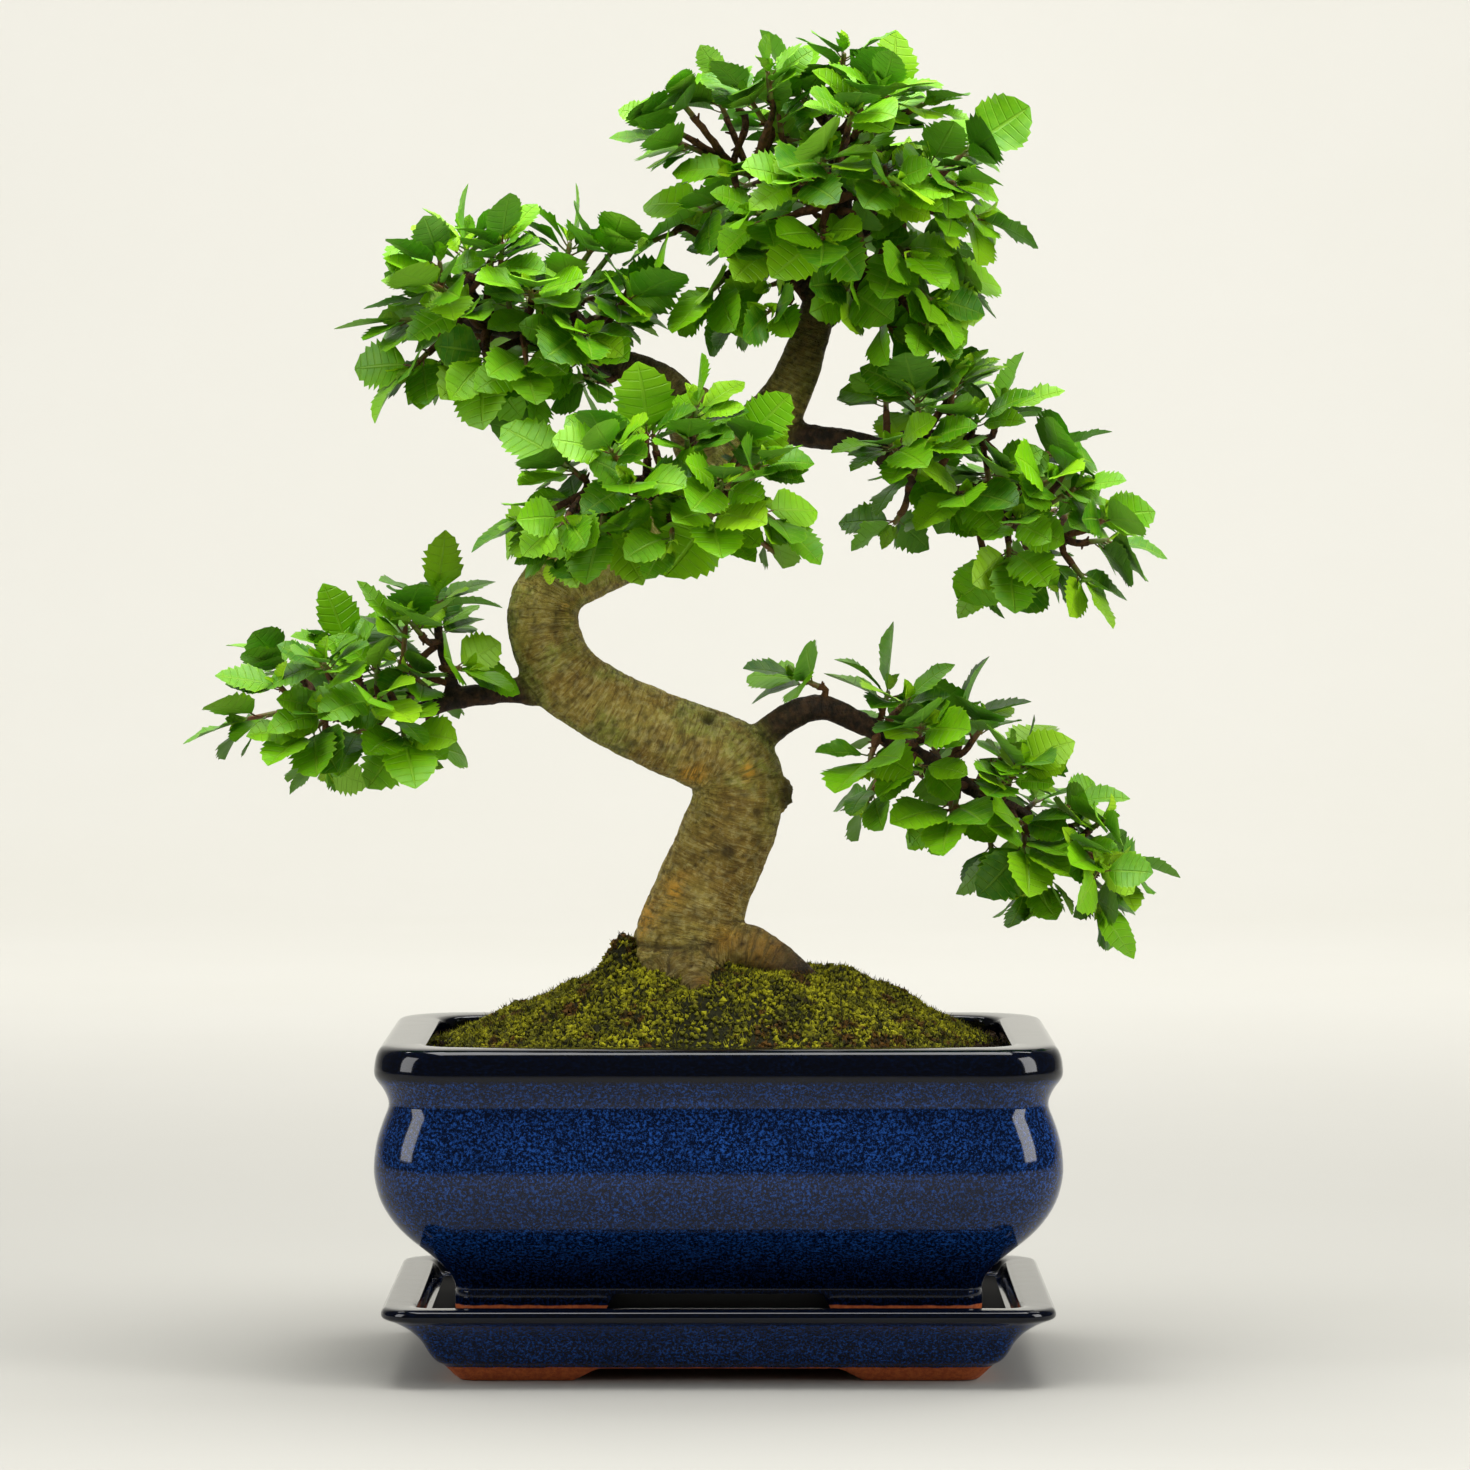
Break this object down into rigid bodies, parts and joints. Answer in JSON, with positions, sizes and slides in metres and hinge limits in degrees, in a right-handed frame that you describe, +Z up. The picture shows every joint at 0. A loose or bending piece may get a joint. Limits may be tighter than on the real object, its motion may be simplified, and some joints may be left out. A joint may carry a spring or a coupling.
{
  "type": "bonsai tree in a pot",
  "caption": "S-curved elm bonsai with leafy pads, mossy soil, glazed rectangular pot and matching drip tray",
  "frame": {"origin": "middle of the whole object's footprint box, on the surface that the drip tray's feet stand on", "axes": "+Z up along the tree, +X along the pot's long side, +Y from the front of the pot to its back"},
  "size_m": [0.3161, 0.1554, 0.418],
  "materials": {
    "pot_glaze": "gloss",
    "tray_glaze": "gloss",
    "soil": "rough",
    "moss": "rough",
    "bark": "matte",
    "leaf": "satin"
  },
  "bodies": {
    "root": {"drip_tray": "tray_glaze", "pot": "pot_glaze", "soil": "soil", "moss": "moss", "tree_wood": "bark", "shoot_lower_left_01": "leaf", "shoot_lower_left_02": "leaf", "shoot_lower_left_03": "leaf", "shoot_lower_left_04": "leaf", "shoot_lower_left_05": "leaf", "shoot_lower_left_06": "leaf", "shoot_lower_left_07": "leaf", "shoot_lower_left_08": "leaf", "shoot_lower_left_09": "leaf", "shoot_lower_right_01": "leaf", "shoot_lower_right_02": "leaf", "shoot_lower_right_03": "leaf", "shoot_lower_right_04": "leaf", "shoot_lower_right_05": "leaf", "shoot_lower_right_06": "leaf", "shoot_lower_right_07": "leaf", "shoot_lower_right_08": "leaf", "shoot_lower_right_09": "leaf", "shoot_lower_right_10": "leaf", "shoot_upper_left_01": "leaf", "shoot_upper_left_02": "leaf", "shoot_upper_left_03": "leaf", "shoot_upper_left_04": "leaf", "shoot_upper_left_05": "leaf", "shoot_upper_left_06": "leaf", "shoot_upper_left_07": "leaf", "shoot_upper_left_08": "leaf", "shoot_upper_left_09": "leaf", "shoot_right_01": "leaf", "shoot_right_02": "leaf", "shoot_right_03": "leaf", "shoot_right_04": "leaf", "shoot_right_05": "leaf", "shoot_right_06": "leaf", "shoot_right_07": "leaf", "shoot_right_08": "leaf", "shoot_middle_01": "leaf", "shoot_middle_02": "leaf", "shoot_middle_03": "leaf", "shoot_middle_04": "leaf", "shoot_middle_05": "leaf", "shoot_middle_06": "leaf", "shoot_middle_07": "leaf", "shoot_middle_08": "leaf", "shoot_crown_01": "leaf", "shoot_crown_02": "leaf", "shoot_crown_03": "leaf", "shoot_crown_04": "leaf", "shoot_crown_05": "leaf", "shoot_crown_06": "leaf", "shoot_crown_07": "leaf", "shoot_crown_08": "leaf", "shoot_crown_09": "leaf", "shoot_crown_10": "leaf", "shoot_crown_11": "leaf"}
  },
  "joints": []
}
